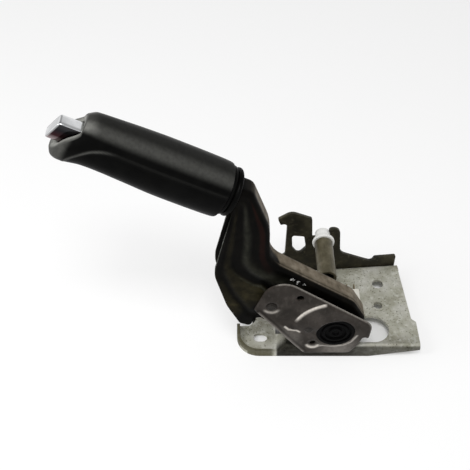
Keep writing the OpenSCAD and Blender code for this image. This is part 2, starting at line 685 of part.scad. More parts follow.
// Length that the bend at corner i takes of the runs beside it
function bend_reach(c, i) =
    i == 0 || i == len(c) - 1 ? 0 :
    rod_bend_r / tan(acos(unit(c[i - 1] - c[i]) * unit(c[i + 1] - c[i])) / 2);
module release_rod() color("gray") placed() at_pivot() translate([0, lever_y, 0]) rotate([90, 0, 0]) {
    c = rod_corners;
    last = len(c) - 1;
    for (i = [0:last - 1]) {
        run = c[i + 1] - c[i];
        skip = [for (k = [i, i + 1]) max(bend_reach(c, k) - join, 0)];
        from = c[i] + unit(run) * skip[0];
        translate([from.x, from.y, 0]) rotate([0, 90, atan2(run.y, run.x)])
            cylinder(d = rod_d, h = norm(run) - skip[0] - skip[1]);
    }
    for (i = [1:last - 1]) {
        centre = arc_centre(c[i - 1], c[i], c[i + 1], rod_bend_r);
        start = c[i] + unit(c[i - 1] - c[i]) * bend_reach(c, i) - centre;
        end = c[i] + unit(c[i + 1] - c[i]) * bend_reach(c, i) - centre;
        first = cross(start, end) > 0 ? start : end;
        sweep = acos(unit(start) * unit(end));
        translate([centre.x, centre.y, 0]) rotate(atan2(first.y, first.x)) rotate_extrude(angle = sweep)
            translate([rod_bend_r, 0]) circle(d = rod_bend_d);
    }
}

module button_spring() color("silver") placed() at_pivot() on_grip() translate([0, 0, guide_a1 + seat_gap])
    coil(rod_d + 4, spring_wire, button_a0 - guide_a1 - 2 * seat_gap, 7);

base_plate();
near_side_plate();
cable_bracket();
cross_tube();
tube_collar();
pivot_bush();
pivot_pin();
pivot_washer();
ratchet_sector();
guide_pad();
pad_rivets();
switch_housing();
switch_terminals();
switch_spring();
lever_arm();
grip();
grip_collar();
rod_guide();
pawl_pin();
cable_pin();
release_button();
release_rod();
button_spring();
pawl();
switch_plunger();
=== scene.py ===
import json
import math

import bpy
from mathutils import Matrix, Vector
from mathutils.geometry import delaunay_2d_cdt

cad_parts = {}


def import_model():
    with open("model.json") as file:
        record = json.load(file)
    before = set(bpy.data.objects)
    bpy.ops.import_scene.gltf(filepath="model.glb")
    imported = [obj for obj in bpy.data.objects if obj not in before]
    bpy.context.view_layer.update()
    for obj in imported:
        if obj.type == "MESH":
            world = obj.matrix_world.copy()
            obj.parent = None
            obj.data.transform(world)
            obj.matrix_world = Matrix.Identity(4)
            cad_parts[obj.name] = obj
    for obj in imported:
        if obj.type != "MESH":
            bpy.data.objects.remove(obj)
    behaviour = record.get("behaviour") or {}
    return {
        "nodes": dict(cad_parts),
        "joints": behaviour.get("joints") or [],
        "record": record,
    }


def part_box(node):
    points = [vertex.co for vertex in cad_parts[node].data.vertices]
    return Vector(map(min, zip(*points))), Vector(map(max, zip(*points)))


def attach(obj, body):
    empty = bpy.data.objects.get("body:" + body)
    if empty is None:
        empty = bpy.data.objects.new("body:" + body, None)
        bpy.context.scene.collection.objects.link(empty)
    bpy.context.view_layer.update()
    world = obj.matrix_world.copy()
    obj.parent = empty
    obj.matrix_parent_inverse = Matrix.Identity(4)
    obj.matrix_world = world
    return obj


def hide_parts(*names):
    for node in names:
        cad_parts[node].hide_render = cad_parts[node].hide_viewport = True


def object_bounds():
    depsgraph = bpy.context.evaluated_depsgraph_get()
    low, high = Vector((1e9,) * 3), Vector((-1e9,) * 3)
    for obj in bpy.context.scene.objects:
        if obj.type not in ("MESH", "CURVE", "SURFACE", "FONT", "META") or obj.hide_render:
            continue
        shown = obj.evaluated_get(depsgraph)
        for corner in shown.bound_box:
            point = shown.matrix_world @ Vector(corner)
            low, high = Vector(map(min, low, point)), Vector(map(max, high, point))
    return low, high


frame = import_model()
cad_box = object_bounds()

# Places are in millimetres: x to the rear and z up from the lever's pivot, w across from the near flange
MM = 0.001
LEVER_W = 15
PIVOT = Vector(next(joint["pos_m"] for joint in frame["joints"] if joint["name"] == "lever_pivot"))


def spot(x, w, z):
    """That place in the frame, in metres."""
    return PIVOT + MM * Vector((x, w - LEVER_W, z))


# The axes' numbers
X, W, Z = range(3)

# Front end of the foot, and its rear end at the step up to the tray
FOOT_X = (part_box("base_plate")[0].x - PIVOT.x) / MM
FOOT_END = -46.2

# The grip's axis: a counts towards the button, p upwards across it
GRIP_SLOPE = math.radians(26.5)
AXIS_ROOT = (-78, 131)


def on_axis(a, p):
    """Side view place (x, z) of a point beside the grip's axis."""
    return (AXIS_ROOT[0] - a * math.cos(GRIP_SLOPE) + p * math.sin(GRIP_SLOPE),
            AXIS_ROOT[1] + a * math.sin(GRIP_SLOPE) + p * math.cos(GRIP_SLOPE))


# Small geometry functions
def smooth(start, end, value):
    """0 before start, 1 after end and a soft step between them."""
    t = min(max((value - start) / (end - start), 0), 1)
    return t * t * (3 - 2 * t)


def mixed(a, b, t):
    return [p + (q - p) * t for p, q in zip(a, b)]


def bell(distance, width):
    return math.exp(-(distance / width) ** 2)


ARC_STEP = math.radians(6)


def rounded(corners, closed=True):
    """Outline through corners (x, z, radius), with arcs of short chords at the corners."""
    points = []
    count = len(corners)
    for i, corner in enumerate(corners):
        b, radius = Vector(corner[:2]), corner[2]
        if radius == 0 or (not closed and i in (0, count - 1)):
            points.append(b)
            continue
        u = (Vector(corners[i - 1][:2]) - b).normalized()
        v = (Vector(corners[(i + 1) % count][:2]) - b).normalized()
        half = u.angle(v) / 2
        centre = b + (u + v).normalized() * radius / math.sin(half)
        start = b + u * radius / math.tan(half) - centre
        end = b + v * radius / math.tan(half) - centre
        steps = max(3, math.ceil((math.pi - 2 * half) / ARC_STEP))
        for k in range(steps + 1):
            points.append(centre + radius * start.slerp(end, k / steps))
    return points


def resampled(points, step, closed=True):
    """The same line with points about step apart."""
    line = list(points) + ([points[0]] if closed else [])
    result = []
    for a, b in zip(line, line[1:]):
        parts = max(1, round((b - a).length / step))
        result += [a.lerp(b, k / parts) for k in range(parts)]
    return result if closed else result + [line[-1]]


def gap(point, line, closed=True):
    """Distance from a point to a line of points."""
    ends = list(line) + ([line[0]] if closed else [])
    best = math.inf
    for a, b in zip(ends, ends[1:]):
        run = b - a
        t = min(max((point - a).dot(run) / max(run.length_squared, 1e-9), 0), 1)
        best = min(best, (point - a - run * t).length)
    return best


def inside(point, line):
    """Whether a point lies inside a closed line."""
    odd = False
    for a, b in zip(line, line[1:] + line[:1]):
        if (a.y > point.y) != (b.y > point.y):
            crossing = a.x + (point.y - a.y) * (b.x - a.x) / (b.y - a.y)
            if point.x < crossing:
                odd = not odd
    return odd


def through(stations, steps):
    """Smooth rows of numbers through stations of numbers (Catmull-Rom)."""
    rows = []
    last = len(stations) - 1
    for i in range(last):
        p0, p1, p2, p3 = (stations[min(max(k, 0), last)] for k in range(i - 1, i + 3))
        for k in range(steps):
            t = k / steps
            rows.append([0.5 * (2 * b + (c - a) * t + (2 * a - 5 * b + 4 * c - d) * t ** 2
                                + (3 * b - a - 3 * c + d) * t ** 3) for a, b, c, d in zip(p0, p1, p2, p3)])
    return rows + [list(stations[-1])]


def grid_faces(rows, columns, wrap_rows=False, wrap_columns=False):
    """Quads of a grid of points counted row by row."""
    faces = []
    for i in range(rows if wrap_rows else rows - 1):
        for j in range(columns if wrap_columns else columns - 1):
            a, b = i * columns, (i + 1) % rows * columns
            k = (j + 1) % columns
            faces.append((a + j, a + k, b + k, b + j))
    return faces


# Small node functions, which take sockets or numbers
def feed(tree, value, socket):
    if isinstance(value, bpy.types.NodeSocket):
        tree.links.new(value, socket)
    else:
        socket.default_value = value


def worked_out(tree, how, *values):
    """The values put together by one sum, such as MULTIPLY or MAXIMUM."""
    node = tree.nodes.new("ShaderNodeMath")
    node.operation = how
    for value, socket in zip(values, node.inputs):
        feed(tree, value, socket)
    return node.outputs[0]


def mapped(tree, value, start, end, low, high, how="LINEAR"):
    """Low up to start, high from end on, and a slope between them."""
    node = tree.nodes.new("ShaderNodeMapRange")
    node.interpolation_type = how
    limits = {"Value": value, "From Min": start, "From Max": end, "To Min": low, "To Max": high}
    for name, limit in limits.items():
        feed(tree, limit, node.inputs[name])
    return node.outputs["Result"]


# Procedural finishes
class Finish:
    """A material whose colour, roughness and bump come from nodes."""

    def __init__(self, name, metallic=0.0, specular=0.5):
        self.material = bpy.data.materials.new(name)
        self.material.use_nodes = True
        self.tree = self.material.node_tree
        self.shader = self.tree.nodes["Principled BSDF"]
        self.shader.inputs["Metallic"].default_value = metallic
        self.shader.inputs["Specular IOR Level"].default_value = specular
        self.place = self.add("TexCoord").outputs["Object"]

    def add(self, kind):
        return self.tree.nodes.new("ShaderNode" + kind)

    def link(self, source, target):
        self.tree.links.new(source, target)

    def noise(self, size, detail, stretch=(1, 1, 1)):
        """Cloudy noise from 0 to 1 with features about that many millimetres large."""
        mapping = self.add("Mapping")
        mapping.inputs["Scale"].default_value = stretch
        self.link(self.place, mapping.inputs["Vector"])
        noise = self.add("TexNoise")
        noise.inputs["Scale"].default_value = 1 / (size * MM)
        noise.inputs["Detail"].default_value = detail
        self.link(mapping.outputs["Vector"], noise.inputs["Vector"])
        return noise.outputs["Fac"]

    def cells(self, size):
        """Flat cells about that many millimetres large, each with its own grey."""
        cells = self.add("TexVoronoi")
        cells.inputs["Scale"].default_value = 1 / (size * MM)
        self.link(self.place, cells.inputs["Vector"])
        return cells.outputs["Color"]

    def painted(self, attribute):
        """A value that was set at each point of the mesh."""
        node = self.add("Attribute")
        node.attribute_name = attribute
        return node.outputs["Fac"]

    def ramp(self, value, low, high, colours):
        """Colours spread evenly over that stretch of the value."""
        ramp = self.add("ValToRGB")
        elements = ramp.color_ramp.elements
        for i, colour in enumerate(colours):
            place = low + (high - low) * i / (len(colours) - 1)
            element = elements[i] if i < 2 else elements.new(place)
            element.position = place
            element.color = (*colour, 1) if isinstance(colour, tuple) else (colour, colour, colour, 1)
        self.link(value, ramp.inputs["Fac"])
        return ramp.outputs["Color"]

    def blend(self, share, a, b, how="MIX"):
        """Colours a and b, mixed by share."""
        mix = self.add("Mix")
        mix.data_type = "RGBA"
        mix.blend_type = how
        for value, socket in ((share, mix.inputs[0]), (a, mix.inputs[6]), (b, mix.inputs[7])):
            feed(self.tree, (*value, 1) if isinstance(value, tuple) else value, socket)
        return mix.outputs[2]

    def joined(self, how, *values):
        """Any number of values put together by one sum."""
        total = values[0]
        for value in values[1:]:
            total = worked_out(self.tree, how, total, value)
        return total

    def reach(self, value, start, end, low=0.0, high=1.0):
        """Low up to start, high from end on, and a soft step between them."""
        return mapped(self.tree, value, start, end, low, high, "SMOOTHSTEP")

    def past(self, axis, start, end, low=0.0, high=1.0):
        """The same along axis X, W or Z, counted in millimetres like all places."""
        split = self.add("SeparateXYZ")
        self.link(self.place, split.inputs[0])
        start, end = (spot(place, place, place)[axis] for place in (start, end))
        return self.reach(split.outputs[axis], start, end, low, high)

    def around(self, x, w, z, radius):
        """1 at a place, down to 0 that far from it."""
        away = self.add("VectorMath")
        away.operation = "DISTANCE"
        away.inputs[1].default_value = spot(x, w, z)
        self.link(self.place, away.inputs[0])
        return self.reach(away.outputs["Value"], 0, radius * MM, 1, 0)

    def colour(self, socket):
        self.link(socket, self.shader.inputs["Base Color"])

    def rough(self, socket):
        self.link(socket, self.shader.inputs["Roughness"])

    def gloss(self, socket):
        self.link(socket, self.shader.inputs["Specular IOR Level"])

    def bump(self, height, depth):
        """Surface relief that is depth millimetres high."""
        bump = self.add("Bump")
        bump.inputs["Distance"].default_value = depth * MM
        self.link(height, bump.inputs["Height"])
        self.link(bump.outputs["Normal"], self.shader.inputs["Normal"])


# Specular level of bare zinc, and of what is grimy or painted black
ZINC_GLOSS = 0.25
DULL_GLOSS = 0.03


def galvanised_sheet():
    f = Finish("galvanised_sheet", metallic=0.3)
    clouds = f.ramp(f.noise(15, 6), 0.3, 0.7,
                    [(0.30, 0.295, 0.23), (0.42, 0.415, 0.345), (0.53, 0.525, 0.475)])
    spangled = f.blend(0.3, clouds, f.ramp(f.cells(3), 0.2, 0.8, [0.35, 0.65]), "SOFT_LIGHT")
    dirt = f.ramp(f.noise(22, 8), 0.5, 0.7, [0.0, 0.6])
    stained = f.blend(dirt, spangled, (0.15, 0.13, 0.08))
    pale = f.ramp(f.noise(4, 6), 0.53, 0.68, [0.0, 0.7])
    mottled = f.blend(pale, stained, (0.60, 0.60, 0.54))
    specks = f.ramp(f.noise(1.6, 3), 0.60, 0.68, [0.0, 0.8])
    speckled = f.blend(specks, mottled, (0.07, 0.06, 0.035))
    # olive lip round the foot, and painted shade on the step and on the near flange
    outer = f.joined("MAXIMUM", f.past(Z, -30.9, -29.6), f.past(W, 2.4, 3.4, 1, 0),
                     f.past(X, FOOT_X + 2, FOOT_X + 3, 1, 0))
    lip = f.joined("MULTIPLY", outer, f.past(X, -50, -45.5, 0.85, 0))
    lipped = f.blend(lip, speckled, (0.075, 0.068, 0.036))
    # painted shade below the arm and the side plate: on the step and floor beside the foot, and on the near
    # flange's outer face
    front = f.joined("MULTIPLY", f.past(X, FOOT_END, FOOT_END + 2.2, 0, 0.95), f.past(X, -4, 26, 1, 0.3),
                     f.past(W, 3, 14, 1, 0))
    face = f.joined("MULTIPLY", f.past(X, FOOT_END, FOOT_END + 2.2, 0, 0.97), f.past(X, 0, 50, 1, 0.75),
                    f.past(W, 0.3, 2, 1, 0))
    patches = f.ramp(f.noise(5, 7), 0.25, 0.55, [0.93, 1.0])
    painted_shade = f.joined("MULTIPLY", f.joined("MAXIMUM", front, face), patches)
    f.colour(f.blend(painted_shade, lipped, (0.008, 0.007, 0.005)))
    f.gloss(f.reach(f.joined("MAXIMUM", painted_shade, lip), 0, 1, ZINC_GLOSS, DULL_GLOSS))
    f.rough(f.ramp(f.noise(6, 4), 0.3, 0.7, [0.36, 0.58]))
    f.bump(f.noise(2.2, 5), 0.14)
    return f.material


def side_plate_steel():
    f = Finish("side_plate_steel", metallic=0.2, specular=0.08)
    clouds = f.ramp(f.noise(13, 6), 0.3, 0.7,
                    [(0.017, 0.014, 0.011), (0.030, 0.025, 0.021), (0.052, 0.044, 0.038)])
    # lighter patches where the steel is rubbed
    lightened = f.ramp(f.noise(3, 6, (1, 1, 0.5)), 0.55, 0.75, [0.0, 0.35])
    steel = f.blend(lightened, clouds, (0.075, 0.066, 0.058))
    # painted highlights and painted shade, as set at the plate's points
    highlight = f.joined("MULTIPLY", f.painted("painted_highlight"), f.ramp(f.noise(2.2, 5), 0.3, 0.6, [0.7, 1.0]))
    dark = f.joined("MULTIPLY", f.painted("shade"), f.ramp(f.noise(2.5, 5), 0.3, 0.6, [0.75, 1.0]))
    f.colour(f.blend(dark, f.blend(highlight, steel, (0.80, 0.75, 0.68)), (0.006, 0.005, 0.004)))
    f.rough(f.ramp(f.noise(4, 5), 0.3, 0.7, [0.32, 0.46]))
    f.bump(f.noise(1.2, 4), 0.05)
    return f.material


def olive_steel():
    f = Finish("olive_steel", metallic=0.2, specular=0.2)
    clouds = f.ramp(f.noise(10, 6), 0.3, 0.7,
                    [(0.014, 0.013, 0.009), (0.028, 0.025, 0.016), (0.056, 0.050, 0.030)])
    dust = f.ramp(f.noise(3, 6), 0.58, 0.75, [0.0, 0.5])
    f.colour(f.blend(dust, clouds, (0.12, 0.11, 0.075)))
    f.rough(f.ramp(f.noise(5, 4), 0.3, 0.7, [0.38, 0.55]))
    f.bump(f.noise(1.4, 4), 0.05)
    return f.material


def tube_steel():
    f = Finish("tube_steel", metallic=0.3, specular=0.25)
    clouds = f.ramp(f.noise(9, 5), 0.3, 0.7,
                    [(0.055, 0.047, 0.026), (0.095, 0.083, 0.050), (0.15, 0.132, 0.088)])
    streaks = f.ramp(f.noise(3, 5, (1, 0.15, 1)), 0.55, 0.75, [0.0, 0.55])
    f.colour(f.blend(streaks, clouds, (0.035, 0.030, 0.018)))
    f.rough(f.ramp(f.noise(4, 4), 0.3, 0.7, [0.32, 0.5]))
    f.bump(f.noise(1.5, 4), 0.04)
    return f.material


def moulded(name, dark, light, roughness, specular=0.5):
    """Moulded plastic with faint clouds and a fine grain."""
    f = Finish(name, specular=specular)
    f.colour(f.ramp(f.noise(6, 4), 0.3, 0.7, [dark, light]))
    f.rough(f.ramp(f.noise(3, 3), 0.3, 0.7, [roughness - 0.06, roughness + 0.08]))
    f.bump(f.noise(0.7, 3), 0.03)
    return f.material


def turned_steel(name, dark, light, low, high):
    """Bare metal with darker stains, and a roughness from low to high."""
    f = Finish(name, metallic=0.9)
    clouds = f.ramp(f.noise(5, 5), 0.3, 0.7, [dark, light])
    stains = f.ramp(f.noise(2, 6), 0.56, 0.76, [0.0, 0.5])
    f.colour(f.blend(stains, clouds, tuple(0.4 * part for part in dark)))
    f.rough(f.ramp(f.noise(1.5, 4), 0.3, 0.7, [low, high]))
    f.bump(f.noise(0.6, 3), 0.02)
    return f.material


# Where light specks are painted on the arm above the side plate
LIGHT_SPECKS = [(-36, 53), (-31.5, 49.5), (-27.5, 47)]
SPECK_W = 5.5
SPECK_RADIUS = 3


def black_paint():
    f = Finish("black_paint", specular=DULL_GLOSS)
    colour = f.ramp(f.noise(9, 6), 0.3, 0.7,
                    [(0.001, 0.001, 0.0008), (0.002, 0.0018, 0.0014), (0.004, 0.0034, 0.0024)])
    olive = f.ramp(f.noise(6, 7), 0.3, 0.7,
                   [(0.010, 0.009, 0.004), (0.020, 0.017, 0.008), (0.034, 0.029, 0.014)])
    # grey: a painted highlight on the wall's edges, and partly wear, partly a painted highlight on its high
    # ridge
    grey = f.ramp(f.noise(5, 6), 0.3, 0.7, [(0.022, 0.023, 0.017), (0.050, 0.050, 0.038)])
    red = (0.016, 0.005, 0.0035)
    tan = f.ramp(f.noise(7, 7), 0.3, 0.7,
                 [(0.10, 0.082, 0.058), (0.17, 0.142, 0.105), (0.25, 0.215, 0.165)])
    for attribute, tint in (("olive", olive), ("grey", grey), ("red", red), ("tan", tan)):
        patches = f.ramp(f.noise(4.5, 7), 0.25, 0.55, [0.7, 1.0])
        colour = f.blend(f.joined("MULTIPLY", f.painted(attribute), patches), colour, tint)
    light_specks = f.joined("MAXIMUM", *[f.around(x, SPECK_W, z, SPECK_RADIUS) for x, z in LIGHT_SPECKS])
    # light specks above the side plate, in broken patches
    bare = f.joined("MULTIPLY", light_specks, f.ramp(f.noise(1.6, 3), 0.5, 0.56, [0.0, 1.0]))
    f.colour(f.blend(f.reach(bare, 0.25, 0.4), colour, (0.62, 0.62, 0.60)))
    f.rough(f.ramp(f.noise(4, 5), 0.3, 0.7, [0.34, 0.50]))
    f.bump(f.noise(1.6, 4), 0.05)
    return f.material


def grip_vinyl():
    f = Finish("grip_vinyl", specular=DULL_GLOSS)
    black = f.ramp(f.noise(10, 4), 0.3, 0.7, [(0.0012, 0.0012, 0.0012), (0.0028, 0.0028, 0.0026)])
    # painted highlight on the upper flanks, round the nose and the lip, and along the seam
    lightened = f.joined("MULTIPLY", f.painted("lightened"), f.ramp(f.noise(2.5, 6), 0.25, 0.6, [0.75, 1.0]))
    f.colour(f.blend(lightened, black, (0.27, 0.27, 0.25)))
    f.rough(f.ramp(f.noise(8, 4), 0.3, 0.7, [0.30, 0.38]))
    f.bump(f.noise(0.8, 3), 0.05)
    return f.material


def chrome_button():
    f = Finish("chrome_button", metallic=1.0)
    bright = f.ramp(f.noise(6, 4), 0.3, 0.7, [(0.66, 0.67, 0.68), (0.78, 0.79, 0.80)])
    # painted reflections on the flanks: dark grey above, maroon low down and pale pink at the bottom
    painted_reflection = f.ramp(f.painted("low"), 0.0, 1.0,
                    [(0.05, 0.05, 0.052), (0.016, 0.016, 0.018), (0.035, 0.014, 0.016), (0.40, 0.34, 0.34)])
    f.colour(f.blend(f.painted("flank"), bright, painted_reflection))
    f.rough(f.ramp(f.noise(2, 5), 0.3, 0.7, [0.10, 0.18]))
    return f.material


finishes = {
    "galvanised_sheet": galvanised_sheet(),
    "side_plate_steel": side_plate_steel(),
    "olive_steel": olive_steel(),
    "tube_steel": tube_steel(),
    "white_nylon": moulded("white_nylon", (0.70, 0.70, 0.67), (0.82, 0.82, 0.80), 0.42),
    "black_plastic": moulded("black_plastic", (0.0015, 0.0015, 0.0015), (0.003, 0.003, 0.003), 0.36, 0.02),
    "plain_steel": turned_steel("plain_steel", (0.014, 0.012, 0.010), (0.04, 0.036, 0.032), 0.34, 0.48),
    "hardened_steel": turned_steel("hardened_steel", (0.16, 0.16, 0.16), (0.28, 0.28, 0.29), 0.3, 0.48),
    "cream_plastic": moulded("cream_plastic", (0.66, 0.63, 0.54), (0.76, 0.74, 0.67), 0.45),
    "brass_blade": turned_steel("brass_blade", (0.14, 0.11, 0.06), (0.30, 0.24, 0.14), 0.26, 0.42),
    "spring_steel": turned_steel("spring_steel", (0.40, 0.40, 0.40), (0.56, 0.56, 0.56), 0.2, 0.34),
    "black_paint": black_paint(),
    "grip_vinyl": grip_vinyl(),
    "chrome_button": chrome_button(),
}


# CAD nodes that keep their shape: the record's finish and softly broken edges, 0 where they are round already
EDGE = {"base_plate": 0.5, "cable_bracket": 0.45, "cross_tube": 0.35, "tube_collar": 0.5, "pivot_bush": 0.3,
        "grip_collar": 0.0, "button_spring": 0.0, "switch_spring": 0.0}
PLAIN_EDGE = 0.25
WELD_GAP = 0.002
NORMAL_WEIGHT = 80
FLAT_ANGLE = math.radians(0.6)
SHARP_ANGLE = math.radians(40)


def broken_edges(made, width, sharp):
    bevel = made.modifiers.new("bevel", "BEVEL")
    bevel.width = width * MM
    bevel.segments = 2
    bevel.limit_method = "ANGLE"
    bevel.angle_limit = sharp


def dress(name, slot):
    """Gives a CAD node its finish, and rounds its edges a little."""
    node = frame["nodes"][name]
    node.data.materials.clear()
    node.data.materials.append(finishes[slot])
    width = EDGE.get(name, PLAIN_EDGE)
    weld = node.modifiers.new("weld", "WELD")
    weld.merge_threshold = WELD_GAP * MM
    if width:
        flat = node.modifiers.new("flat", "DECIMATE")
        flat.decimate_type = "DISSOLVE"
        flat.angle_limit = FLAT_ANGLE
        broken_edges(node, width, SHARP_ANGLE)
    normals = node.modifiers.new("normals", "WEIGHTED_NORMAL")
    normals.weight = NORMAL_WEIGHT


for subpart in frame["record"]["subparts"]:
    dress(subpart["node"], subpart["material_slot"])


def piece(name, points, faces, node, body, slot, painted):
    """A mesh of the scene's own that stands for a CAD node, with values painted on its points."""
    mesh = bpy.data.meshes.new(name)
    mesh.from_pydata(points, [], faces)
    mesh.shade_smooth()
    for attribute, values in painted.items():
        mesh.attributes.new(attribute, "FLOAT", "POINT").data.foreach_set("value", values)
    mesh.materials.append(finishes[slot])
    made = bpy.data.objects.new(name, mesh)
    bpy.context.scene.collection.objects.link(made)
    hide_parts(node)
    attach(made, body)
    return made


# Lever arm: a pressed channel swept between its front edge and its rear edge
ARM_NEAR = 6
ARM_FAR = 24
ARM_SHEET = 2.5
ARM_BEND = 4
BEND_LIMIT = 0.45
ARM_EDGE = 0.5
ARM_SHARP_ANGLE = math.radians(50)
TANG_TIP = 72
TANG_HALF = 10
FRONT_EDGE = rounded(
    [(*on_axis(TANG_TIP, -TANG_HALF), 0), (*on_axis(-2, -TANG_HALF), 4), (-94.5, 60, 28), (-85, 24, 40),
     (-75, 3, 3), (-67, 0, 2.5), (-61, 13, 4), (-46, -3, 12), (-8, -18, 10), (12, -17, 9), (18.5, -6.5, 0)],
    closed=False)
REAR_EDGE = rounded(
    [(*on_axis(TANG_TIP, TANG_HALF), 0), (*on_axis(-8.3, 10.3), 6), (-54, 103, 40), (-53.5, 71.5, 22),
     (13, 25.5, 14), (25, 4, 10), (21, -2.46, 0)], closed=False)
# Places on the front edge and on the rear edge that lie across from each other
ARM_PAIRS = [
    (on_axis(TANG_TIP, -TANG_HALF), on_axis(TANG_TIP, TANG_HALF)),
    (on_axis(2, -TANG_HALF), on_axis(-6, TANG_HALF)),
    ((-88, 88), (-56, 110)), ((-92, 58), (-54, 82)), ((-84, 24), (-48, 67.5)), ((-75, 3), (-43, 64)),
    ((-67, 0), (-40, 62)), ((-61, 13), (-36, 59.3)), ((-46, -3), (-10, 41.5)), ((-8, -17), (8, 28)),
    ((11, -16.5), (22, 9)), ((18.5, -6.5), (21, -2.46))]
# Points of the mesh: rows between two pairs, their accuracy, and steps across each part of a row
ARM_ROWS = 14
MATCH_STEP = 0.25
WALL_STEPS = 40
BEND_STEPS = 6
WEB_STEPS = 6
# Stretches along the arm in which something sets in or fades out, counted in pairs from the tang's tip
OUT_OF_GRIP = (0.95, 1.4)
ELBOW = (2.6, 4.6)
RIM_TINT_END = (4.1, 4.9)
TOE_START = (4.2, 5.2)
FLAT_TINT_END = (5.5, 7)
HIGH_RIDGE_END = (6.4, 8)
LOW_RIDGE_END = (8, 9.2)
LOWER_WEB = (3.6, 4.8)
DARK_WEB_START = (1.8, 3.2)
DARK_WEB_END = (3.8, 4.6)
# Shares of the wall's width: the rim's end, then start and end of the low and of the high ridge
WALL_ABOVE_ELBOW = (0.03, 0.18, 0.26, 0.50, 0.63)
WALL_BELOW_ELBOW = (0.14, 0.26, 0.60, 0.74, 0.86)
RIM_HEIGHT = 0.9
LOW_HEIGHT = 1.2
HIGH_HEIGHT = 1.8
FAR_RELIEF = 0.5
# Ear that works the switch
EAR_X = 5
EAR = [(23.5, -17), (42, -17), (42, -9), (23.5, -9)]


def matched(edge, keys, rows):
    """Points along an edge, with as many between each two keys."""
    line = resampled(edge, MATCH_STEP, closed=False)
    marks = [min(range(len(line)), key=lambda i: (line[i] - Vector(key)).length) for key in keys]
    result = []
    for a, b in zip(marks, marks[1:]):
        result += [line[round(a + (b - a) * k / rows)] for k in range(rows)]
    return result + [line[marks[-1]]]


def arm_wall(t, turn):
    """(low and high relief, rim, flat, grey, red) of a wall: t across it, turn past the elbow. Grey is a
    painted highlight on the edges, and partly wear, partly a painted highlight on the high ridge.
    """
    rim_end, a0, a1, b0, b1 = mixed(WALL_ABOVE_ELBOW, WALL_BELOW_ELBOW, turn)
    rim = 1 - smooth(rim_end, rim_end + 0.06, t)
    a = smooth(a0 - 0.06, a0 + 0.04, t) * (1 - smooth(a1 - 0.02, a1 + 0.06, t))
    b = smooth(b0 - 0.05, b0 + 0.08, t) * (1 - smooth(b1 - 0.08, b1 + 0.06, t))
    # painted highlight lines along the rim and along the flat's edge
    edge = bell(t, 0.012) * (1 - 0.6 * turn) + bell(t - a1 - 0.01, 0.012) * turn
    red = 0.6 * smooth(0.79, 0.84, t) * (1 - smooth(0.89, 0.93, t)) * (1 - turn)
    low = max(RIM_HEIGHT * rim, LOW_HEIGHT * a)
    return low, HIGH_HEIGHT * b, rim * turn, a * (0.3 + 0.7 * turn), max(edge, 0.55 * b), red


def arm_section(s, width):
    """Places (across, sideways, olive, grey, red, tan) from the near wall's front edge round the web."""
    bend = min(ARM_BEND, width * BEND_LIMIT)
    reach = width - bend
    turn = smooth(*ELBOW, s)
    start = smooth(*OUT_OF_GRIP, s)
    low_share = start * (1 - smooth(*LOW_RIDGE_END, s))
    high_share = start * (1 - smooth(*HIGH_RIDGE_END, s))
    near_wall, far_wall = [], []
    for k in range(WALL_STEPS + 1):
        t = k / WALL_STEPS
        low, high, rim, flat, line, dark_red = arm_wall(t * reach / width, turn)
        relief = low * low_share + high * high_share
        toe = smooth(*TOE_START, s) * (1 - smooth(0.35, 0.5, t))
        tint = max(rim * (1 - smooth(*RIM_TINT_END, s)), flat * (1 - smooth(*FLAT_TINT_END, s)) * (1 - toe))
        # grey carries the painted highlight on the edges and the high ridge, partly wear
        tints = (tint * start, line * high_share, dark_red * start, 0)
        near_wall.append((t * reach, ARM_NEAR - relief, *tints))
        far_wall.append((t * reach, ARM_FAR + FAR_RELIEF * relief, *tints))
    # bare tan metal on the web, and a black stretch at its near side above the elbow
    lower = smooth(*LOWER_WEB, s)
    bare = start * (0.8 + 0.2 * lower)
    black = 0.55 * smooth(*DARK_WEB_START, s) * (1 - smooth(*DARK_WEB_END, s))
    near_bend, far_bend = [], []
    for k in range(1, BEND_STEPS):
        angle = math.radians(90 * k / BEND_STEPS)
        along = reach + bend * math.sin(angle)
        rise = bend - bend * math.cos(angle)
        near_bend.append((along, ARM_NEAR + rise, 0, 0, 0, bare * lower * smooth(1.0, 1.5, angle)))
        far_bend.append((along, ARM_FAR - rise, 0, 0, 0, bare * smooth(0.7, 1.2, angle)))
    web = []
    for k in range(WEB_STEPS + 1):
        t = k / WEB_STEPS
        share = bare * smooth(black - 0.15, black + 0.3, t)
        web.append((width, ARM_NEAR + bend + (ARM_FAR - ARM_NEAR - 2 * bend) * t, share, 0, 0, share))
    return near_wall + near_bend + web + far_bend[::-1] + far_wall[::-1]


def lever_arm():
    front = matched(FRONT_EDGE, [pair[0] for pair in ARM_PAIRS], ARM_ROWS)
    rear = matched(REAR_EDGE, [pair[1] for pair in ARM_PAIRS], ARM_ROWS)
    points = []
    painted = {"olive": [], "grey": [], "red": [], "tan": []}
    for row, (a, b) in enumerate(zip(front, rear)):
        width = (b - a).length
        across = (b - a) / width
        section = arm_section(row / ARM_ROWS, width)
        for along, w, *shares in section:
            x, z = a + across * along
            points.append(spot(x, w, z))
            for values, share in zip(painted.values(), shares):
                values.append(share)
    faces = grid_faces(len(front), len(section))
    faces.append(tuple(range(len(points), len(points) + len(EAR))))
    points += [spot(EAR_X, w, z) for w, z in EAR]
    for values in painted.values():
        values += [0] * len(EAR)
    arm = piece("lever_arm_pressing", points, faces, "lever_arm", "lever", "black_paint", painted)
    sheet = arm.modifiers.new("sheet", "SOLIDIFY")
    sheet.thickness = ARM_SHEET * MM
    sheet.offset = 1
    broken_edges(arm, ARM_EDGE, ARM_SHARP_ANGLE)


lever_arm()


# Side plate: a pressing with a plateau round the bush, a bead and dimples
def polyline(*places):
    return [Vector(place) for place in places]


def circle(centre, radius, count):
    return [centre + radius * Vector((math.cos(k * math.tau / count), math.sin(k * math.tau / count)))
            for k in range(count)]


PLATE_FACE = -2.5
PLATE_SHEET = 2.4
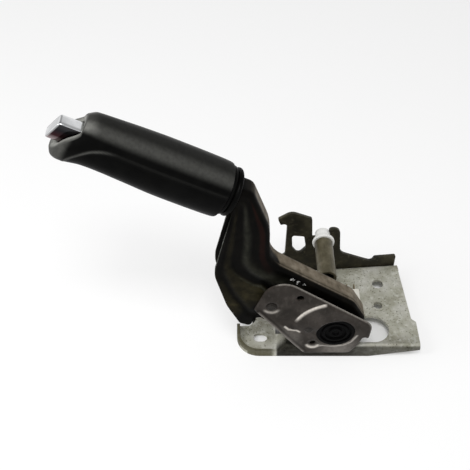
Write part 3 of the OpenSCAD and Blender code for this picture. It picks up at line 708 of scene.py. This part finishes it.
# Points of the mesh: a grid of even triangles, which keeps a share of its step off the edges
PLATE_GRID = 0.75
GRID_ROW = 0.866
GRID_ROOM = 0.45
OUTLINE_STEP = 1.0
PLATE_OUTLINE = resampled(rounded(
    [(-64.5, 27, 4), (-50, 65.5, 16), (28.5, 9, 11), (26.8, -9.8, 1.5), (22.8, -6, 1.5), (19, -17, 5),
     (13, -26.5, 5), (-23.7, -26.5, 3)]), OUTLINE_STEP)
TOP_RIVET, LOW_RIVET = polyline((-51, 30.3), (-21.3, 4.5))
BARE_HOLE, LOW_HOLE = polyline((-29.8, 41.3), (-17.1, -13.6))
BUSH_HOLE_RADIUS = 15.05
BARE_HOLE_RADIUS = 3
LOW_HOLE_RADIUS = 2.5
PLATE_HOLES = [circle(Vector((0, 0)), BUSH_HOLE_RADIUS, 96), circle(BARE_HOLE, BARE_HOLE_RADIUS, 24),
               circle(LOW_HOLE, LOW_HOLE_RADIUS, 24)]
BEAD = polyline((-60.5, 24.5), (-24.5, -23))
# Upper edge of the raised patch below the crescent, and the part of it that gets a painted highlight
STEP = polyline((-40, 7.8), (-37.2, 4.7), (-33.3, 3.8), (-30.7, 3.6), (-28.3, 1.5), (-24.5, -1.6))
LIT_STEP = STEP[:5]
# Edge of the flare below the bush
FLARE = polyline((-21.5, -16.8), (-18, -18.6), (-13.5, -17.2), (-9, -15.8), (-2, -16.6), (7, -15.4),
                 (13, -11.2), (17, -3.5))
FLARE_RADIUS = 16.6
# Middles of a painted highlight below the bush and of painted shade above the step
LIT_SPOT, DARK_SPOT = polyline((4, -21), (-34, 7.5))
# Fall of the plate's upper edge, for each millimetre to the rear
UPPER_FALL = 0.72


def step_level(x):
    """Height of the raised patch's upper edge at a place along it."""
    for a, b in zip(STEP, STEP[1:]):
        if x <= b.x:
            return a.y + (b.y - a.y) * max(x - a.x, -6) / (b.x - a.x)
    return STEP[-1].y


def plate_shape(p, edge):
    """(height, painted highlight, painted shade) of the side plate's outer face at a place that far from its
    edge.
    """
    r = p.length
    angle = math.degrees(math.atan2(p.y, p.x)) % 360
    top, low = p - TOP_RIVET, p - LOW_HOLE
    bead_gap = gap(p, BEAD, closed=False)
    patch = smooth(-0.3, 1.5, step_level(p.x) - p.y) * (1 - smooth(-33, -22, p.x)) * smooth(-46, -38, p.x)
    # pressed forms
    sector = smooth(60, 104, angle) * (1 - smooth(152, 186, angle))
    plateau = (1 - smooth(34.2, 36.4, r)) * sector * smooth(0.8, 3, edge)
    dimple = 1 - smooth(3.6, 6.4, top.length)
    cup = 1 - smooth(2.6, 5.4, low.length)
    roll = (1 - min(edge / 1.6, 1)) ** 2
    raised = max(1.2 * plateau, 0.8 * patch, 0.8 * bell(bead_gap, 1.3), 0.5 * bell(r - FLARE_RADIUS, 1.3))
    height = raised - 1.1 * dimple - 0.8 * cup - 1.2 * roll
    # painted highlights on the crescent, the edges and the rims
    crescent = (1 - smooth(35.7, 36.5, r)) * smooth(32.5, 36, r) ** 2
    crescent *= smooth(104, 109, angle) * (1 - smooth(146, 158, angle))
    upper = smooth(18, 24, p.y + UPPER_FALL * p.x) * (1 - smooth(0.3, 1.0, edge))
    under = smooth(1, 5, -top.y) * bell(top.length - 5.9, 1.0)
    rim = smooth(0, 3, -low.y) * bell(low.length - 4.9, 1.1)
    painted_highlight = max(crescent, 0.9 * bell(gap(p, LIT_STEP, closed=False), 0.7), 0.22 * bell(bead_gap, 0.9),
               0.3 * upper, 0.45 * under, 0.9 * rim, 0.5 * bell(gap(p, FLARE, closed=False), 0.9),
               0.08 * patch, 0.2 * bell((p - LIT_SPOT).length, 14))
    # painted shade in the hollows, beside the bead and near the rear edge
    shade = max(0.85 * (1 - smooth(2.5, 4.6, (top - Vector((0, 1.2))).length)),
                0.6 * bell(bead_gap - 2.4, 0.8), 0.5 * bell((p - DARK_SPOT).length, 3.0),
                0.5 * (1 - smooth(3.2, 4.6, (p - LOW_RIVET).length)),
                0.3 * bell(edge - 2.2, 1.2) * smooth(10, 24, p.x))
    return height, painted_highlight, shade


def on_plate(p):
    return inside(p, PLATE_OUTLINE) and not any(inside(p, hole) for hole in PLATE_HOLES)


def near_side_plate():
    loops = [PLATE_OUTLINE] + PLATE_HOLES
    flat = [p for loop in loops for p in loop]
    edges = []
    for loop in loops:
        first = len(edges)
        edges += [(first + i, first + (i + 1) % len(loop)) for i in range(len(loop))]
    low = Vector((min(p.x for p in PLATE_OUTLINE), min(p.y for p in PLATE_OUTLINE)))
    high = Vector((max(p.x for p in PLATE_OUTLINE), max(p.y for p in PLATE_OUTLINE)))
    for i in range(int((high.y - low.y) / (PLATE_GRID * GRID_ROW)) + 1):
        for j in range(int((high.x - low.x) / PLATE_GRID) + 1):
            p = low + PLATE_GRID * Vector((j + 0.5 * (i % 2), i * GRID_ROW))
            if on_plate(p) and min(gap(p, loop) for loop in loops) > GRID_ROOM * PLATE_GRID:
                flat.append(p)
    places, _, triangles, _, _, _ = delaunay_2d_cdt(flat, edges, [], 1, 1e-5)
    faces = []
    for corners in triangles:
        middle = sum((places[k] for k in corners), Vector((0, 0))) / len(corners)
        if on_plate(middle):
            faces.append(tuple(corners))
    points, painted_highlight, shade = [], [], []
    for p in places:
        height, highlight, dark = plate_shape(p, gap(p, PLATE_OUTLINE))
        points.append(spot(p.x, PLATE_FACE - height, p.y))
        painted_highlight.append(highlight)
        shade.append(dark)
    plate = piece("side_plate_pressing", points, faces, "near_side_plate", "base", "side_plate_steel",
                  {"painted_highlight": painted_highlight, "shade": shade})
    sheet = plate.modifiers.new("sheet", "SOLIDIFY")
    sheet.thickness = PLATE_SHEET * MM
    sheet.offset = -1


near_side_plate()


# Grip: lofted through stations (place, top, bottom, half width, tilt), with a seam on each flank
GRIP_A = 10.35
GRIP_LEN = 109
GRIP_TILT = 0.48
GRIP_STATIONS = [(0, 16.4, 18.8, 16.6, 0), (2.5, 18.6, 20.9, 18.6, 0), (40, 19.4, 20.6, 18.7, 0),
                 (62, 19.3, 19, 18, 0.02), (80, 18.9, 17.8, 17, 0.1), (92, 18.8, 18.2, 16, 0.2),
                 (100, 18.8, 21, 15.4, 0.42), (105, 18.6, 19.8, 14.2, GRIP_TILT),
                 (GRIP_LEN, 16.4, 15.8, 11.8, GRIP_TILT)]
STATION_STEPS = 14
SEAM_STEPS = 4
SEAM = polyline(*through(
    [(0, 7), (70, 7), (80, 6.6), (87, 5), (94, 1.6), (100, -4), (104, -10), (106, -17)], SEAM_STEPS))
SEAM_HEIGHT = 0.55
SEAM_WIDTH = 0.8
GRIP_SIDES = 144
# Powers that make a ring round, or square with rounded corners
ROUND = 0.9
SQUARE = 0.35
BUTTON_ROOM = (7.85, 5.85)
TANG_ROOM = (10.35, 9.35)
TANG_END = 73
# Rings of the lip: share of the way from the grip's front to the button's room, and how far forward
LIP = [(0.12, 0.5), (0.28, 0.8), (0.45, 0.8), (0.62, 0.6), (0.8, 0.2), (0.94, -0.2), (1, -0.6)]
# Rings of the room inside, from the button to the rear end
INSIDE = [(GRIP_LEN - 12, BUTTON_ROOM), (TANG_END - GRIP_A + 0.5, BUTTON_ROOM),
          (TANG_END - GRIP_A, TANG_ROOM), (40, TANG_ROOM), (20, TANG_ROOM), (0.6, TANG_ROOM)]
# The front's upper half leans as if it stood that much higher, and above the step it leans less
LEAN_STEP = 8
LEAN_STEP_FROM = -4
LEAN_STEP_TO = 8
LEAN_LOSS = 0.8


def full(value, power):
    return math.copysign(abs(value) ** power, value)


def tilted(place, tilt, p):
    """Place along the axis of a point on a flat ring."""
    return place - tilt * p


def leaning(place, tilt, p):
    """The same on a ring whose upper half is set back."""
    step = LEAN_STEP * smooth(LEAN_STEP_FROM, LEAN_STEP_TO, p)
    return tilted(place, tilt, p + step - LEAN_LOSS * max(p - LEAN_STEP_TO, 0))


def grip_ring(place, top, bottom, half, tilt, power=ROUND, seam=False, lean=leaning):
    """Ring of points round the grip's axis, place counted from the grip's rear end."""
    ring = []
    for k in range(GRIP_SIDES):
        angle = math.tau * k / GRIP_SIDES
        up, side = full(math.sin(angle), power), full(math.cos(angle), power)
        p = up * (top if up > 0 else bottom)
        along = lean(place, tilt, p)
        out = half
        if seam and abs(side) > 0.2:
            out += SEAM_HEIGHT * bell(gap(Vector((along, p)), SEAM, closed=False), SEAM_WIDTH)
        x, z = on_axis(GRIP_A + along, p)
        ring.append(spot(x, LEVER_W - side * out, z))
    return ring


def grip_sheen(place, top, bottom, tilt):
    """How much painted highlight each point of a ring gets: on both upper flanks, round the nose and along
    the seam.
    """
    values = []
    for k in range(GRIP_SIDES):
        up = math.sin(math.tau * k / GRIP_SIDES)
        rise = math.degrees(math.asin(up))
        p = up * (top if up > 0 else bottom)
        along = leaning(place, tilt, p)
        nose = smooth(90, 103, along)
        flank = smooth(34, 54, rise) * (1 - 0.75 * smooth(58, 84, rise))
        seam = bell(gap(Vector((along, p)), SEAM, closed=False), 0.7) * (0.04 + 0.3 * smooth(76, 90, along))
        values.append(max(flank * (0.2 + 0.45 * nose), 0.7 * seam, 0.25 * smooth(105, 110, along)))
    return values


def lip_sheen(share):
    """The same on the lip: a painted highlight in its middle, dark at the button."""
    return 0.25 + 0.7 * smooth(0.1, 0.6, share) - 0.9 * smooth(0.85, 1, share)


def grip():
    rings, lightened = [], []
    for place, top, bottom, half, tilt in through(GRIP_STATIONS, STATION_STEPS):
        rings.append(grip_ring(place, top, bottom, half, tilt, seam=True))
        lightened += grip_sheen(place, top, bottom, tilt)
    end = GRIP_STATIONS[-1][1:4]
    room = (BUTTON_ROOM[0], BUTTON_ROOM[0], BUTTON_ROOM[1])
    for share, forward in LIP:
        power = ROUND + (SQUARE - ROUND) * share
        rings.append(grip_ring(GRIP_LEN + forward, *mixed(end, room, share), GRIP_TILT, power))
        lightened += [lip_sheen(share)] * GRIP_SIDES
    for place, (height, width) in INSIDE:
        rings.append(grip_ring(place, height, height, width, 0, SQUARE))
        lightened += [0] * GRIP_SIDES
    points = [point for ring in rings for point in ring]
    faces = grid_faces(len(rings), GRIP_SIDES, wrap_rows=True, wrap_columns=True)
    piece("grip_cover", points, faces, "grip", "lever", "grip_vinyl", {"lightened": lightened})


grip()


# Push button: a chromed block with rounded edges and a slightly crowned front
BUTTON_BACK = 98.35 - GRIP_A
BUTTON_FRONT = 129.2 - GRIP_A
BUTTON_TILT = 0.36
BUTTON_HALF = (7.5, 5.5)
BUTTON_POWER = 0.3
# Its last rings: distance behind the front, and share of the full section
BUTTON_NOSE = [(6, 1), (1.2, 1), (0.6, 0.98), (0.2, 0.94), (0, 0.88), (-0.05, 0.4)]


def release_button():
    stations = [(BUTTON_BACK, 1, 0), (BUTTON_BACK + 8, 1, 0)]
    stations += [(BUTTON_FRONT - behind, share, BUTTON_TILT) for behind, share in BUTTON_NOSE]
    points, flank, low = [], [], []
    for place, share, tilt in stations:
        height, width = (value * share for value in BUTTON_HALF)
        points += grip_ring(place, height, height, width, tilt, BUTTON_POWER, lean=tilted)
        # flank and low say where the button's painted reflections go: on its sides, and half as strong round
        # the edge of its front
        for k in range(GRIP_SIDES):
            angle = math.tau * k / GRIP_SIDES
            side = smooth(0.68, 0.78, abs(math.cos(angle)))
            flank.append(side if share == 1 else 0.5 * (share > 0.9))
            low.append(0.5 - 0.5 * full(math.sin(angle), BUTTON_POWER))
    faces = grid_faces(len(stations), GRIP_SIDES, wrap_columns=True)
    faces += [tuple(reversed(range(GRIP_SIDES))), tuple(range(len(points) - GRIP_SIDES, len(points)))]
    piece("chrome_push_button", points, faces, "release_button", "button", "chrome_button",
          {"flank": flank, "low": low})


release_button()


# Studio: pale floor, soft light and the camera
FLOOR_SIZE = 6
FLOOR_DROP = 0.2
FLOOR_COLOUR = (0.96, 0.96, 0.96, 1)
FLOOR_ROUGHNESS = 0.8
FLOOR_GLOW = 0.55
TRAY_FADE = 8
SOFT_LIGHT = 0.45
# Sines of the angles above the horizon between which the white surroundings fade to the dim ceiling
WHITE_END = 0.45
CEILING_START = 0.7
# Lamps: name, place and width in metres, power in watts
LAMPS = [("key", (-0.05, -0.47, 1.12), 0.35, 7), ("side", (-0.85, -0.2, 0.8), 0.5, 4)]
# The camera stands in front of the lever and looks down on it
CAMERA_X = -78.7
CAMERA_W = -390.74
CAMERA_Z = 496.5
CAMERA_PITCH = math.radians(45)
SENSOR_WIDTH = 36
FOCAL_PIXELS = 800
FRAME_PIXELS = 470


def seen_directly(tree):
    """1 for camera, glossy and transmission rays."""
    rays = tree.nodes.new("ShaderNodeLightPath").outputs
    reflected = worked_out(tree, "MAXIMUM", rays["Is Glossy Ray"], rays["Is Transmission Ray"])
    return worked_out(tree, "MAXIMUM", rays["Is Camera Ray"], reflected)


def under_tray(tree):
    """1 on the floor below the base plate, fading to 0 at its edges."""
    split = tree.nodes.new("ShaderNodeSeparateXYZ")
    tree.links.new(tree.nodes.new("ShaderNodeNewGeometry").outputs["Position"], split.inputs[0])
    shares = []
    for place, low, high in zip(split.outputs[:2], *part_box("base_plate")):
        half = (high - low) / 2
        away = worked_out(tree, "ABSOLUTE", worked_out(tree, "SUBTRACT", place, low + half))
        shares.append(mapped(tree, away, half - TRAY_FADE * MM, half, 1, 0))
    return worked_out(tree, "MULTIPLY", *shares)


def floor():
    mesh = bpy.data.meshes.new("floor")
    corners = [(FLOOR_SIZE * x, FLOOR_SIZE * y, 0) for x, y in ((-1, -1), (1, -1), (1, 1), (-1, 1))]
    mesh.from_pydata(corners, [], [(0, 1, 2, 3)])
    ground = bpy.data.objects.new("floor", mesh)
    ground.location.z = cad_box[0].z - FLOOR_DROP * MM
    bpy.context.scene.collection.objects.link(ground)
    material = bpy.data.materials.new("pale_floor")
    material.use_nodes = True
    tree = material.node_tree
    shader = tree.nodes["Principled BSDF"]
    shader.inputs["Base Color"].default_value = FLOOR_COLOUR
    shader.inputs["Roughness"].default_value = FLOOR_ROUGHNESS
    white = tree.nodes.new("ShaderNodeEmission")
    # where the floor is seen it glows a little, but not below the tray, so that the holes show its shadow
    glow = mapped(tree, under_tray(tree), 0, 1, FLOOR_GLOW, 0)
    mix = tree.nodes.new("ShaderNodeMixShader")
    feed(tree, worked_out(tree, "MULTIPLY", seen_directly(tree), glow), mix.inputs[0])
    feed(tree, shader.outputs[0], mix.inputs[1])
    feed(tree, white.outputs[0], mix.inputs[2])
    feed(tree, mix.outputs[0], tree.nodes["Material Output"].inputs["Surface"])
    mesh.materials.append(material)


def world():
    """Soft light from all round, which is seen as white surroundings and a dimmer ceiling."""
    scene_world = bpy.data.worlds.new("studio")
    bpy.context.scene.world = scene_world
    scene_world.use_nodes = True
    tree = scene_world.node_tree
    background = tree.nodes["Background"]
    background.inputs["Color"].default_value = (1, 1, 1, 1)
    split = tree.nodes.new("ShaderNodeSeparateXYZ")
    feed(tree, tree.nodes.new("ShaderNodeTexCoord").outputs["Generated"], split.inputs[0])
    seen = mapped(tree, split.outputs["Z"], WHITE_END, CEILING_START, 1, SOFT_LIGHT)
    level = mapped(tree, seen_directly(tree), 0, 1, SOFT_LIGHT, seen)
    feed(tree, level, background.inputs["Strength"])


def lamp(name, place, size, power):
    """Square soft light that looks at the object's middle."""
    light = bpy.data.lights.new(name, "AREA")
    light.size = size
    light.energy = power
    made = bpy.data.objects.new(name, light)
    made.location = place
    middle = (cad_box[0] + cad_box[1]) / 2
    made.rotation_euler = (middle - made.location).to_track_quat("-Z", "Y").to_euler()
    bpy.context.scene.collection.objects.link(made)


def camera():
    lens = bpy.data.cameras.new("camera")
    lens.sensor_width = SENSOR_WIDTH
    lens.lens = SENSOR_WIDTH * FOCAL_PIXELS / FRAME_PIXELS
    lens.clip_start = 0.01
    made = bpy.data.objects.new("camera", lens)
    made.location = spot(CAMERA_X, CAMERA_W, CAMERA_Z)
    made.rotation_euler = (CAMERA_PITCH, 0, 0)
    bpy.context.scene.collection.objects.link(made)
    bpy.context.scene.camera = made


camera()
floor()
world()
for name, place, size, power in LAMPS:
    lamp(name, place, size, power)
bpy.context.scene.view_settings.view_transform = "Standard"
